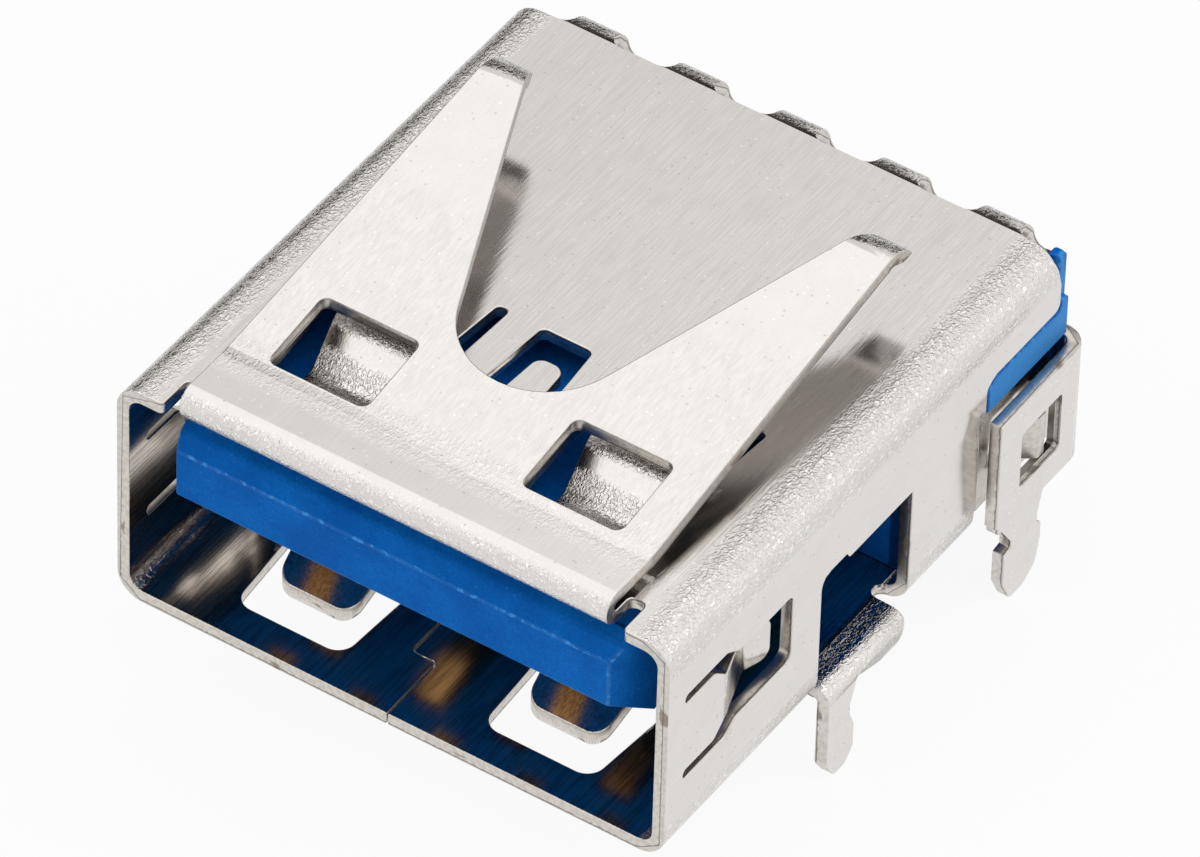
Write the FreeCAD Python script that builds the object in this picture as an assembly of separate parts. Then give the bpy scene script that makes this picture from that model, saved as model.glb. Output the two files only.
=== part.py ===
import FreeCAD, Part
import math
import os

os.makedirs("parts", exist_ok=True)

# All sizes are in millimetres. X runs to the right seen from the mouth, Y runs
# from the mouth into the depth, Z is up, and Z = 0 is the face on the board.

# Shell tube
sheet = 0.30
plug_opening_width = 12.50
plug_opening_height = 5.12
shell_depth = 14.06
corner_radius = 0.62
bottom_shelf = 1.00
bottom_gap_inset = 0.95
bottom_gap_radius = 0.40

# Fold at the front lip and the V spring that runs back over the top
fold_gap = 0.19
fold_inset = 1.50
notch_width = 0.38
notch_depth = 0.88
notch_corner_radius = 0.12
flat_length = 1.55
arm_rise_angle = 8.3
arm_rise_bend = 2.0
arm_reach = 10.95
arm_tip_drop = 1.05
arm_tip_angle = 80.0
arm_tip_bend = 0.62
arm_taper = 0.18
valley_floor = 3.66
valley_radius = 1.88
valley_angle = 21.6
plate_window_inner = 1.83
plate_window_rim = 0.88
plate_window_front = 1.75
plate_window_rear = 3.70
plate_window_radius = 0.20

# Spring fingers cut from the top and bottom walls, from the free end to the root
window_front = 0.85
window_front_inner = 1.68
window_rear_inner = 1.41
window_side_margin = 1.85
window_taper = 0.43
window_radius = 0.40
slot_width = 0.27
finger_tip_gap = 0.87
finger_fall = 1.33
finger_rise = 1.10
finger_flat = 1.05
finger_slot = 0.97
finger_inner_gap = 0.40
finger_outer_gap = 0.37
finger_tip_roundness = 0.23
finger_dip = 0.78
finger_tip_height = 0.12
finger_bend = 0.35

# Spring finger of each side wall; its knee and crest are shares of its length
side_slot_front = 0.62
side_slot_length = 0.38
side_slot_width = 0.22
side_opening_low = 1.75
side_opening_high = 4.03
side_opening_step = 0.25
side_opening_radius = 0.20
side_step_length = 0.40
side_finger_step = 0.34
side_finger_knee_share = 0.364
side_finger_crest_share = 0.774
side_finger_crest_depth = 0.42
side_finger_tip_depth = 0.21
side_finger_tip_gap = 0.45
side_finger_bend = 0.25
side_finger_tip_radius = 0.30

# Latch tab in the middle of the top wall
latch_front = 3.95
latch_length = 2.19
latch_rear_half_width = 0.60
latch_front_half_width = 0.78
latch_radius = 0.16
latch_tab_offset = 0.12
latch_tab_gap = 0.74
latch_tab_half_width = 0.32
latch_tab_root_half_width = 0.44
latch_tab_radius = 0.26

# Seam of the tube in the bottom wall
seam_gap = 0.03
seam_step = 0.60
seam_step_front = 1.75
seam_step_length = 1.85
seam_radius = 0.12

# Front legs, folded out of the side walls
leg_place_share = 0.389
leg_clearance = 1.05
leg_hole_length = 3.27
leg_hole_top = 3.17
leg_hole_step = 0.19
leg_hole_front_radius = 0.34
leg_hole_rear_radius = 0.22
leg_relief_inset = 0.69
leg_relief_radius = 0.19
leg_offset = 0.27
leg_bend = 0.08
leg_drop = 2.20
leg_side_gap = 0.03
leg_root_gap = 0.45
leg_shoulder_low = 0.28
leg_shoulder_step = 0.22
leg_shoulder_start = 1.88
leg_width = 0.98
leg_waist_step = 0.17
leg_waist_high = 0.57
leg_waist_length = 0.32
leg_barb_slope = 0.39
leg_end_slope = 0.28
leg_point = 0.30

# Side wall behind the side slot, under the rear cover wings
rear_slot_width = 0.31
flap_length = 2.92
flap_neck = 0.32
flap_low = 0.40
flap_offset = 0.17
flap_bend = 0.10
rib_cut_offset = 0.26
rib_cut_drop = 1.66
rib_cut_height = 1.02
side_end_rise = 0.24
catch_gap = 0.25
catch_side_gap = 0.20
catch_height = 0.34

# Rear cover hinged on five rolled strips, with wings that fold forward
top_end_inset = 0.19
top_end_slope = 1.00
cover_gap = 0.34
hinge_bend = 0.52
strip_count = 5
strip_width = 1.00
strip_inset = 1.27
strip_offset = 0.12
strip_root_radius = 0.28
strip_drop = 0.92
cover_inset = 0.40
cover_low = 0.02
cover_corner_radius = 0.40
wing_clearance = 0.10
wing_bend = 0.26
wing_length = 3.32
wing_rise = 0.02
wing_window_inset = 0.82
wing_window_end = 1.04
wing_window_low = 0.78
wing_window_rim = 0.78
wing_shoulder = 0.21
wing_shoulder_length = 0.08
rear_leg_width = 1.68
rear_leg_tip_step = 0.30
rear_leg_notch_depth = 0.24
rear_leg_notch_high = 0.56
rear_leg_notch_width = 0.18
rear_leg_waist_step = 0.16
rear_leg_waist_high = 0.50
rear_leg_waist_length = 0.28

# Housing
fit = 0.02
tongue_front = 0.60
tongue_top_gap = 1.16
tongue_thickness = 1.82
tongue_side_gap = 0.70
tongue_face_drop = 0.62
tongue_brow_depth = 0.46
tongue_brow_drop = 0.16
tongue_corner_width = 0.79
tongue_corner_depth = 0.46
base_length = 2.22
base_cover = 0.28
cheek_clearance = 0.60
cheek_low = 0.68
rib_fit = 0.05
rib_low_gap = 0.13
rear_fit = 0.06
roof_thickness = 0.95
roof_inset = 0.25
ear_inset = 0.10
ear_width = 0.30
ear_drop = 0.34
ear_radius = 0.12

# Contacts
contact_sheet = 0.20
contact_bend = 0.12
beam_inner_place = 1.00
beam_outer_place = 3.50
beam_names = ("power_contact", "data_minus_contact", "data_plus_contact", "ground_contact")
beam_width = 0.60
beam_rise = 0.51
beam_tip = 2.95
beam_tip_length = 0.95
beam_tip_rise = 0.35
beam_bump_drop = 0.62
beam_bump_bend = 0.50
beam_root_bend = 0.80
beam_row_offset = 0.68
groove_side_gap = 0.16
groove_end_gap = 0.23
groove_headroom = 0.26
pad_pitch = 2.00
pad_names = ("receive_minus_contact", "receive_plus_contact", "drain_contact",
             "transmit_minus_contact", "transmit_plus_contact")
pad_width = 0.60
pad_front = 1.05
pad_length = 1.30
pad_rise = 1.11
row_pitch = 1.50
tail_width = 0.60
tail_drop = 2.20
tail_point = 0.35
spacer_low = 0.10
spacer_high = 1.30
spacer_gap = 0.04
spacer_inset = 0.14

# Small roundings, and how far the cutting shapes reach past the metal
small_radius = 0.10
edge_radius = 0.15
soft_radius = 0.20
wide_radius = 0.30
slot_end_roundness = 0.45
fold_roundness = 0.48
beyond = 1.0

# Widths and heights that follow from the sizes above
half_width = plug_opening_width / 2 + sheet
inner_half_width = half_width - sheet
height = plug_opening_height + 2 * sheet
through = 2 * height
plate_top = height + fold_gap + sheet
bottom_gap_half_width = half_width - bottom_gap_inset
fold_half_width = half_width - fold_inset
arm_tip_half_width = fold_half_width - arm_taper
plate_window_outer = fold_half_width - plate_window_rim
window_rear_outer = half_width - window_side_margin
window_front_outer = window_rear_outer - window_taper
finger_tip_inner = window_front_inner + finger_inner_gap
finger_tip_outer = window_front_outer - finger_outer_gap
leg_hole_peak = leg_hole_top + leg_hole_step
leg_relief = half_width - leg_relief_inset
leg_outer_face = half_width + leg_offset
leg_waist_width = leg_width - leg_waist_step
leg_waist_low = leg_waist_high + leg_waist_length
leg_barb_high = leg_waist_low + leg_barb_slope
leg_barb_low = leg_drop - leg_end_slope
leg_relief_round = leg_relief + leg_relief_radius
rib_cut_top = height - rib_cut_drop
flap_top = rib_cut_top - rib_cut_height
flap_face = half_width - flap_offset
flap_inner_face = flap_face - sheet
rear_slot_top = flap_top - flap_neck
strip_gap_floor = height - strip_drop
cover_half_width = half_width - cover_inset
strip_pitch = 2 * (cover_half_width - strip_inset) / (strip_count - 1)
wing_face = half_width + wing_clearance + sheet
wing_top = flap_top + wing_rise
wing_window_high = wing_top - wing_window_rim
catch_low = wing_window_low + catch_side_gap
catch_high = wing_window_high - catch_side_gap
rear_leg_notch_low = rear_leg_notch_high + rear_leg_notch_width
rear_leg_waist_low = rear_leg_waist_high + rear_leg_waist_length
top_end_low = height - top_end_slope
tongue_high = height - tongue_top_gap
tongue_low = tongue_high - tongue_thickness
tongue_crest = tongue_high - tongue_face_drop
tongue_half_width = inner_half_width - tongue_side_gap
roof_low = height - sheet - fit - roof_thickness
rib_low = flap_top + rib_low_gap
rib_high = rib_cut_top + side_end_rise
ear_face = half_width - ear_inset
ear_inner = ear_face - ear_width
ear_high = height - ear_drop
beam_positions = (-beam_outer_place, -beam_inner_place, beam_inner_place, beam_outer_place)
beam_level = tongue_low + beam_rise
groove_width = beam_width + 2 * groove_side_gap
groove_top = beam_level + groove_headroom
pad_positions = (-2 * pad_pitch, -pad_pitch, 0, pad_pitch, 2 * pad_pitch)
pad_level = tongue_low + pad_rise
pad_top = tongue_low + contact_sheet
cheek_inner = 2 * pad_pitch + tail_width / 2 + cheek_clearance

# Places along the depth, from the mouth to the rear cover
finger_tip = window_front + finger_tip_gap
finger_crest = finger_tip + finger_fall
finger_bend_start = finger_crest + finger_rise
finger_root = finger_bend_start + finger_flat
window_rear = finger_root + finger_slot
latch_rear = latch_front + latch_length
latch_tab_tip = latch_rear - latch_tab_gap
seam_step_rear = seam_step_front + seam_step_length
leg_hole_front = leg_place_share * shell_depth
leg_hole_rear = leg_hole_front + leg_hole_length
leg_root_length = leg_hole_length - leg_root_gap
leg_shoulder_length = leg_root_length - leg_shoulder_step
side_opening_rear = leg_hole_front - leg_clearance
side_finger_root = side_slot_front + side_slot_length
side_finger_tip = side_opening_rear - side_finger_tip_gap
side_finger_length = side_finger_tip - side_finger_root
side_finger_knee = side_finger_root + side_finger_knee_share * side_finger_length
side_finger_crest = side_finger_root + side_finger_crest_share * side_finger_length
side_step_rear = side_finger_knee + side_step_length
rear_slot_front = shell_depth - flap_length
rear_slot_rear = rear_slot_front + rear_slot_width
rib_cut_front = rear_slot_front + rib_cut_offset
top_depth = shell_depth - top_end_inset
cover_face = shell_depth + cover_gap + sheet
wing_front = cover_face - wing_length
wing_window_front = wing_front + wing_window_inset
wing_window_rear = cover_face - wing_window_end
catch_front = wing_window_front + catch_gap
catch_rear = wing_window_rear - catch_gap
rear_leg_front = wing_front + wing_shoulder_length
rear_leg_tip_front = rear_leg_front + rear_leg_tip_step
rear_leg_notch = rear_leg_tip_front + rear_leg_notch_depth
rear_leg_rear = rear_leg_front + rear_leg_width
rear_leg_waist = rear_leg_rear - rear_leg_waist_step
base_rear = rear_slot_front + base_cover
base_front = base_rear - base_length
bottom_depth = base_front + bottom_shelf
housing_rear = cover_face - sheet - rear_fit
roof_rear = top_depth - roof_inset
ear_front = shell_depth + fit
beam_bump = beam_tip + beam_tip_length
beam_tail_row = base_rear + beam_row_offset
groove_front = beam_tip - groove_end_gap
pad_rear = pad_front + pad_length
pad_tail_row = beam_tail_row + row_pitch
spacer_front = base_rear + spacer_gap
spacer_rear = housing_rear - spacer_inset


def vec(x, y, z):
    return FreeCAD.Vector(x, y, z)


def in_plan(a, b):
    return vec(a, b, 0)


def from_side(a, b):
    return vec(0, a, b)


def from_front(a, b):
    return vec(a, 0, b)


def rounded_face(points, radii):
    """Flat face through the points, each corner rounded by its radius."""
    starts = []
    middles = []
    ends = []
    for index, corner in enumerate(points):
        before = (points[index - 1] - corner).normalize()
        after = (points[(index + 1) % len(points)] - corner).normalize()
        half_angle = before.getAngle(after) / 2
        radius = radii[index]
        reach = radius / math.tan(half_angle)
        starts.append(corner + before * reach)
        ends.append(corner + after * reach)
        bisector = before + after
        if radius:
            bisector.normalize()
        middles.append(corner + bisector * (radius / math.sin(half_angle) - radius))
    edges = []
    for index in range(len(points)):
        if radii[index]:
            edges.append(Part.Arc(starts[index], middles[index], ends[index]).toShape())
        following = starts[(index + 1) % len(points)]
        if ends[index].distanceToPoint(following) > 1e-6:
            edges.append(Part.LineSegment(ends[index], following).toShape())
    return Part.Face(Part.Wire(edges))


def plate(place, outline, radii, start, depth):
    """Prism of a rounded outline drawn in one of the three views."""
    if not isinstance(radii, (list, tuple)):
        radii = [radii] * len(outline)
    face = rounded_face([place(a, b) for a, b in outline], radii)
    across = {in_plan: vec(0, 0, 1), from_side: vec(1, 0, 0), from_front: vec(0, 1, 0)}[place]
    face.translate(across * start)
    return face.extrude(across * depth)


def block(x_low, x_high, y_low, y_high, z_low, z_high):
    return Part.makeBox(x_high - x_low, y_high - y_low, z_high - z_low, vec(x_low, y_low, z_low))


def bent_strip(place, path, bends, thickness, start, width):
    """Bent sheet: the path is one face of it and the sheet lies to its left."""
    steps = []
    for first, second in zip(path, path[1:]):
        length = math.hypot(second[0] - first[0], second[1] - first[1])
        steps.append(((second[0] - first[0]) / length, (second[1] - first[1]) / length))
    far_side = []
    near_radii = []
    far_radii = []
    for index, point in enumerate(path):
        before = steps[max(index - 1, 0)]
        after = steps[min(index, len(steps) - 1)]
        scale = thickness / (1 + before[0] * after[0] + before[1] * after[1])
        far_side.append((point[0] - (before[1] + after[1]) * scale,
                         point[1] + (before[0] + after[0]) * scale))
        turn = before[0] * after[1] - before[1] * after[0]
        if abs(turn) < 1e-9:
            near_radii.append(0)
            far_radii.append(0)
        else:
            inside = bends[index - 1]
            near_radii.append(inside + thickness * (turn > 0))
            far_radii.append(inside + thickness * (turn < 0))
    outline = list(path) + far_side[::-1]
    return plate(place, outline, near_radii + far_radii[::-1], start, width)


def mirrored(shape):
    return shape.mirror(vec(0, 0, 0), vec(1, 0, 0))


def both_sides(shape):
    return [shape, mirrored(shape)]


def one_solid(shape):
    """Joins the faces that a union left split and keeps the result as one solid."""
    return shape.removeSplitter().Solids[0]


def along(value_low, value_high, low, high, at):
    """Straight line between two values, read at a place between low and high."""
    return value_low + (value_high - value_low) * (at - low) / (high - low)


# Shell

def shell_tube():
    def section(inset, radius):
        outline = [(-half_width + inset, inset), (half_width - inset, inset),
                   (half_width - inset, height - inset), (-half_width + inset, height - inset)]
        return plate(from_front, outline, radius, 0, shell_depth)
    tube = section(0, corner_radius).cut(section(sheet, corner_radius - sheet))
    end = shell_depth + beyond
    top_end = plate(from_side, [(top_depth, height + beyond), (top_depth, height - sheet),
                                (shell_depth, top_end_low), (end, top_end_low), (end, height + beyond)],
                    0, -half_width - beyond, 2 * (half_width + beyond))
    half_gap = bottom_gap_half_width
    bottom_end = plate(in_plan, [(-half_gap, bottom_depth), (half_gap, bottom_depth),
                                 (half_gap, end), (-half_gap, end)],
                       [bottom_gap_radius, bottom_gap_radius, 0, 0], -sheet, 3 * sheet)
    return tube.cut([top_end, bottom_end])


def finger_edges(at):
    inner = along(window_rear_inner + slot_width, finger_tip_inner, window_rear, finger_tip, at)
    outer = along(window_rear_outer - slot_width, finger_tip_outer, window_rear, finger_tip, at)
    return inner, outer


def window_edges(at):
    inner = along(window_rear_inner, window_front_inner, window_rear, window_front, at)
    outer = along(window_rear_outer, window_front_outer, window_rear, window_front, at)
    return inner, outer


def finger_window():
    """Opening round one finger: the window and the two slots that end round."""
    inner_root, outer_root = window_edges(finger_root)
    opening = plate(in_plan, [(window_front_inner, window_front), (window_front_outer, window_front),
                              (outer_root, finger_root), (inner_root, finger_root)],
                    [window_radius, window_radius, 0, 0], -sheet, 3 * sheet)
    slots = []
    for side in (0, 1):
        front_edges = (window_edges(finger_root - sheet)[side], finger_edges(finger_root - sheet)[side])
        rear_edges = (window_edges(window_rear)[side], finger_edges(window_rear)[side])
        outline = [(front_edges[0], finger_root - sheet), (front_edges[1], finger_root - sheet),
                   (rear_edges[1], window_rear), (rear_edges[0], window_rear)]
        round_end = slot_width * slot_end_roundness
        slots.append(plate(in_plan, outline, [0, 0, round_end, round_end], -sheet, 3 * sheet))
    return opening.fuse(slots)


def finger():
    """Finger of the bottom wall: up to the crest and down again to its free end."""
    path = [(finger_tip, finger_tip_height), (finger_crest, finger_dip),
            (finger_bend_start, 0), (finger_root + sheet, 0)]
    width = window_rear_outer - window_rear_inner
    strip = bent_strip(from_side, path, [finger_bend, finger_bend], sheet, window_rear_inner, width)
    inner_root, outer_root = finger_edges(finger_root + sheet)
    reach = [(finger_tip_inner, finger_tip), (finger_tip_outer, finger_tip),
             (outer_root, finger_root + sheet), (inner_root, finger_root + sheet)]
    tip_radius = finger_tip_roundness * (finger_tip_outer - finger_tip_inner)
    return strip.common(plate(in_plan, reach, [tip_radius, tip_radius, 0, 0], -beyond, through))


def upside_down(shape):
    return shape.mirror(vec(0, 0, height / 2), vec(0, 0, 1))


def with_wall_fingers(shell):
    openings = []
    fingers = []
    for opening in both_sides(finger_window()):
        openings += [opening, upside_down(opening)]
    for spring in both_sides(finger()):
        fingers += [spring, upside_down(spring)]
    return shell.cut(openings).fuse(fingers)


def side_window():
    """Opening round the side finger: two slots that widen into it, narrower again behind the knee."""
    start = half_width - 2 * sheet
    low_rear = side_opening_low + side_opening_step
    high_rear = side_opening_high - side_opening_step
    opening = plate(from_side, [(side_finger_root, side_opening_low), (side_finger_knee, side_opening_low),
                                (side_step_rear, low_rear), (side_opening_rear, low_rear),
                                (side_opening_rear, high_rear), (side_step_rear, high_rear),
                                (side_finger_knee, side_opening_high), (side_finger_root, side_opening_high)],
                    [0] + [side_opening_radius] * 6 + [0], start, 3 * sheet)
    overlap = side_finger_root + sheet / 2
    round_end = side_slot_width * slot_end_roundness
    slots = []
    for low in (side_opening_low, side_opening_high - side_slot_width):
        high = low + side_slot_width
        slots.append(plate(from_side, [(side_slot_front, low), (overlap, low), (overlap, high),
                                       (side_slot_front, high)], [round_end, 0, 0, round_end], start, 3 * sheet))
    return opening.fuse(slots)


def side_finger():
    """Finger of the right wall, bowed into the mouth behind its knee, with its free end to the rear."""
    front = side_finger_root - sheet
    path = [(half_width, front), (half_width, side_finger_knee),
            (half_width - side_finger_crest_depth, side_finger_crest),
            (half_width - side_finger_tip_depth, side_finger_tip)]
    low = side_opening_low + side_slot_width
    high = side_opening_high - side_slot_width
    low_rear = low + side_finger_step
    high_rear = high - side_finger_step
    strip = bent_strip(in_plan, path, [side_finger_bend] * 2, sheet, low - beyond, high - low + 2 * beyond)
    step = side_finger_knee - side_step_length
    reach = [(front, low), (step, low), (side_finger_knee, low_rear), (side_finger_tip, low_rear),
             (side_finger_tip, high_rear), (side_finger_knee, high_rear), (step, high), (front, high)]
    ends = [0, side_opening_radius, side_opening_radius, side_finger_tip_radius,
            side_finger_tip_radius, side_opening_radius, side_opening_radius, 0]
    return strip.common(plate(from_side, reach, ends, 0, half_width))


def with_side_fingers(shell):
    return shell.cut(both_sides(side_window())).fuse(both_sides(side_finger()))


def latch_opening():
    around = plate(in_plan, [(-latch_front_half_width, latch_front), (latch_front_half_width, latch_front),
                             (latch_rear_half_width, latch_rear), (-latch_rear_half_width, latch_rear)],
                   latch_radius, height - 2 * sheet, 3 * sheet)
    tab = plate(in_plan, [(latch_tab_offset - latch_tab_root_half_width, latch_front - sheet),
                          (latch_tab_offset + latch_tab_root_half_width, latch_front - sheet),
                          (latch_tab_offset + latch_tab_half_width, latch_tab_tip),
                          (latch_tab_offset - latch_tab_half_width, latch_tab_tip)],
                [0, 0, latch_tab_radius, latch_tab_radius], height - 2 * sheet, 3 * sheet)
    return around.cut(tab)


def seam():
    """Gap where the two ends of the sheet meet, stepped so that they interlock."""
    path = [(0, -sheet), (0, seam_step_front), (-seam_step, seam_step_front),
            (-seam_step, seam_step_rear), (0, seam_step_rear), (0, bottom_depth + sheet)]
    return bent_strip(in_plan, path, [seam_radius] * 4, seam_gap, -sheet, 3 * sheet)


def arm_edge(at):
    """Half width between the two arms at a depth, before the valley is rounded."""
    slope = math.tan(math.radians(valley_angle))
    point = valley_floor + valley_radius - valley_radius / math.sin(math.radians(valley_angle))
    return (at - point) * slope


def fold_and_spring():
    """The lip folds up and back, then rises over the top and splits into two arms."""
    rise = math.tan(math.radians(arm_rise_angle))
    crest_height = plate_top + (arm_reach - flat_length) * rise
    tip_slope = math.radians(arm_tip_angle)
    tip = (arm_reach + arm_tip_drop / math.tan(tip_slope), crest_height - arm_tip_drop)
    path = [tip, (arm_reach, crest_height), (flat_length, plate_top), (0, plate_top),
            (0, height - sheet), (window_front - sheet, height - sheet)]
    fold_bend = fold_roundness * fold_gap
    strip = bent_strip(from_side, path, [arm_tip_bend, arm_rise_bend, fold_bend, fold_bend], sheet,
                       -fold_half_width, 2 * fold_half_width)
    outside = [(-fold_half_width, -beyond), (fold_half_width, -beyond), (fold_half_width, flat_length),
               (arm_tip_half_width, arm_reach + beyond), (-arm_tip_half_width, arm_reach + beyond),
               (-fold_half_width, flat_length)]
    spring = strip.common(plate(in_plan, outside, 0, 0, through))
    valley_end = arm_reach + 2 * beyond
    point = valley_floor + valley_radius - valley_radius / math.sin(math.radians(valley_angle))
    valley = plate(in_plan, [(0, point), (arm_edge(valley_end), valley_end), (-arm_edge(valley_end), valley_end)],
                   [valley_radius, 0, 0], height + sheet / 4, height)
    window = plate(in_plan, [(plate_window_inner, plate_window_front), (plate_window_outer, plate_window_front),
                             (plate_window_outer, plate_window_rear), (plate_window_inner, plate_window_rear)],
                   plate_window_radius, height + sheet / 4, height)
    return spring.cut([valley] + both_sides(window))


def lip_notch():
    outer = fold_half_width + notch_width
    outline = [(fold_half_width, -beyond), (outer + beyond, -beyond), (outer + beyond, 0), (outer, 0),
               (outer, notch_depth), (fold_half_width, notch_depth)]
    end = notch_width * slot_end_roundness
    return plate(in_plan, outline, [0, 0, 0, notch_corner_radius, end, end], height - 2 * sheet, 3 * sheet)


def lip_clearance():
    """Room for the fold in the front edge of the top wall."""
    return block(-fold_half_width, fold_half_width, -beyond, sheet, height - 2 * sheet, height + sheet)


def leg_hole():
    """Hole of the side wall for the leg, with a round relief in the bottom wall behind the leg."""
    step = leg_hole_front + leg_width
    outline = [(leg_hole_front, -beyond), (leg_hole_rear, -beyond), (leg_hole_rear, leg_hole_top),
               (step, leg_hole_top), (step - leg_hole_step / 2, leg_hole_peak), (leg_hole_front, leg_hole_peak)]
    radii = [0, 0, leg_hole_rear_radius, small_radius, small_radius, leg_hole_front_radius]
    hole = plate(from_side, outline, radii, leg_relief_round, half_width)
    root = leg_hole_front + leg_side_gap + leg_root_length
    relief = plate(in_plan, [(leg_relief, root), (half_width, root), (half_width, leg_hole_rear),
                             (leg_relief, leg_hole_rear)],
                   [leg_relief_radius, 0, 0, leg_relief_radius], -beyond, beyond + leg_hole_top)
    return hole.fuse(relief)


def front_leg():
    """Runs out of the bottom wall through the hole and bends down to the board."""
    path = [(leg_outer_face, -leg_drop), (leg_outer_face, sheet), (leg_relief - beyond, sheet)]
    front = leg_hole_front + leg_side_gap
    root = front + leg_root_length
    strip = bent_strip(from_front, path, [leg_bend], sheet, front, leg_root_length)
    wide = front + leg_width
    waist = front + leg_waist_width
    outline = [(front, beyond), (root, beyond), (root, sheet / 2), (front + leg_shoulder_length, -leg_shoulder_low),
               (front + leg_shoulder_start, -leg_shoulder_low), (wide + leg_side_gap, 0),
               (waist, -leg_waist_high), (waist, -leg_waist_low), (wide, -leg_barb_high),
               (wide, -leg_barb_low), (wide - leg_point, -leg_drop), (front + leg_point, -leg_drop),
               (front, -leg_drop + leg_point + edge_radius)]
    radii = [0, 0, small_radius, wide_radius, wide_radius, small_radius, soft_radius, soft_radius,
             soft_radius, soft_radius, edge_radius, edge_radius, edge_radius]
    return strip.common(plate(from_side, outline, radii, 0, 2 * half_width))


def with_front_legs(shell):
    return shell.cut(both_sides(leg_hole())).fuse(both_sides(front_leg()))


def side_rear_cuts():
    """Openings of the side wall near the rear: the room of the flap, the rib gap and the end corner."""
    depth = 4 * sheet
    start = half_width - depth / 2
    rise = side_end_rise
    end = shell_depth + beyond
    room = block(inner_half_width - beyond, half_width + beyond, rear_slot_front, end, -beyond, flap_top)
    rib_gap = plate(from_side, [(rib_cut_front, flap_top - sheet), (end, flap_top - sheet), (end, rib_cut_top),
                                (rib_cut_front, rib_cut_top)], [0, 0, 0, wide_radius], start, depth)
    corner = plate(from_side, [(shell_depth - rise, rib_cut_top - rise), (end, rib_cut_top - rise),
                               (end, rib_cut_top + rise), (shell_depth, rib_cut_top + rise),
                               (shell_depth, rib_cut_top), (shell_depth - rise, rib_cut_top)],
                   [0, 0, 0, 0, 2 * slot_end_roundness * rise, 0], start, depth)
    return [room, rib_gap, corner]


def flap():
    """Lower rear part of the side wall: it hangs on a neck, and a small jog sets it back."""
    front = rear_slot_front - sheet
    path = [(half_width, front), (half_width, rear_slot_front), (flap_face, rear_slot_rear),
            (flap_face, shell_depth)]
    strip = bent_strip(in_plan, path, [flap_bend] * 2, sheet, flap_low, flap_top - flap_low)
    slot = plate(from_side, [(front - sheet, -beyond), (rear_slot_rear, -beyond),
                             (rear_slot_rear, rear_slot_top), (front - sheet, rear_slot_top)],
                 [0, 0, small_radius, 0], 0, 2 * half_width)
    return strip.cut(slot)


def catch():
    """Small ramp on the flap that the window of the wing snaps over."""
    root = flap_face - sheet / 2
    peak = half_width + catch_height
    crest = (catch_rear - catch_front) / 4
    return plate(in_plan, [(root, catch_front), (peak, catch_rear - 2 * crest),
                           (peak, catch_rear - crest), (root, catch_rear)],
                 0, catch_low, catch_high - catch_low)


def with_rear_sides(shell):
    cuts = []
    for cut in side_rear_cuts():
        cuts += both_sides(cut)
    return shell.cut(cuts).fuse(both_sides(flap()) + both_sides(catch()))


def strip_gaps():
    """Gaps between the rolled strips, rounded where each strip starts."""
    pitch_half = strip_pitch / 2
    first = strip_offset - strip_pitch * (strip_count - 1) / 2
    gap_width = strip_pitch - strip_width
    gaps = []
    for index in range(strip_count + 1):
        centre = first + index * strip_pitch - pitch_half
        low = centre - gap_width / 2
        high = centre + gap_width / 2
        if index == 0:
            low = -half_width - beyond
        if index == strip_count:
            high = half_width + beyond
        gaps.append(plate(in_plan, [(low, top_depth), (high, top_depth),
                                    (high, cover_face + beyond), (low, cover_face + beyond)],
                          [strip_root_radius, strip_root_radius, 0, 0], height - 2 * sheet, height))
        gaps.append(plate(from_front, [(low, strip_gap_floor), (high, strip_gap_floor),
                                       (high, height + beyond), (low, height + beyond)],
                          [strip_root_radius, strip_root_radius, 0, 0], cover_face - 2 * sheet, beyond))
    return gaps


def hinge_strips():
    path = [(cover_face, strip_gap_floor - beyond), (cover_face, height), (top_depth - 2 * sheet, height)]
    half = half_width - corner_radius
    roll = bent_strip(from_side, path, [hinge_bend], sheet, -half, 2 * half)
    return roll.cut(strip_gaps())


def rear_cover():
    """Rear wall with the wings that fold forward along both sides."""
    path = [(-wing_face, wing_front), (-wing_face, cover_face), (wing_face, cover_face), (wing_face, wing_front)]
    band = bent_strip(in_plan, path[::-1], [wing_bend, wing_bend], sheet, cover_low, wing_top - cover_low)
    upper = plate(from_front, [(-cover_half_width, wing_top - beyond), (cover_half_width, wing_top - beyond),
                               (cover_half_width, strip_gap_floor), (-cover_half_width, strip_gap_floor)],
                  [0, 0, cover_corner_radius, cover_corner_radius], cover_face - sheet, sheet)
    window = plate(from_side, [(wing_window_front, wing_window_low), (wing_window_rear, wing_window_low),
                               (wing_window_rear, wing_window_high), (wing_window_front, wing_window_high)],
                   small_radius, wing_face - 2 * sheet, 3 * sheet)
    shoulder = block(wing_face - 2 * sheet, wing_face + sheet, wing_front - beyond, rear_leg_front,
                     -beyond, wing_shoulder)
    cover = band.fuse(upper)
    return cover.cut(both_sides(window) + both_sides(shoulder))


def rear_leg():
    front = rear_leg_tip_front
    rear = rear_leg_rear
    notch = rear_leg_notch
    waist = rear_leg_waist
    outline = [(rear_leg_front, 2 * wing_shoulder), (rear_leg_front, wing_shoulder),
               (notch, -rear_leg_notch_high), (notch, -rear_leg_notch_low), (front, -rear_leg_waist_low),
               (front, -leg_drop + 2 * leg_point), (front + leg_point, -leg_drop), (rear - 2 * leg_point, -leg_drop),
               (rear - leg_point / 2, -leg_barb_low), (rear, -leg_barb_high), (rear, -leg_waist_low),
               (waist, -rear_leg_waist_low),
               (waist, -rear_leg_waist_high), (rear, cover_low), (rear, 2 * wing_shoulder)]
    radii = [0, 0, 0, 0, 0, wide_radius, edge_radius, wide_radius, wide_radius,
             wide_radius, 0, 0, small_radius, 0, 0]
    return plate(from_side, outline, radii, wing_face - sheet, sheet)


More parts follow.
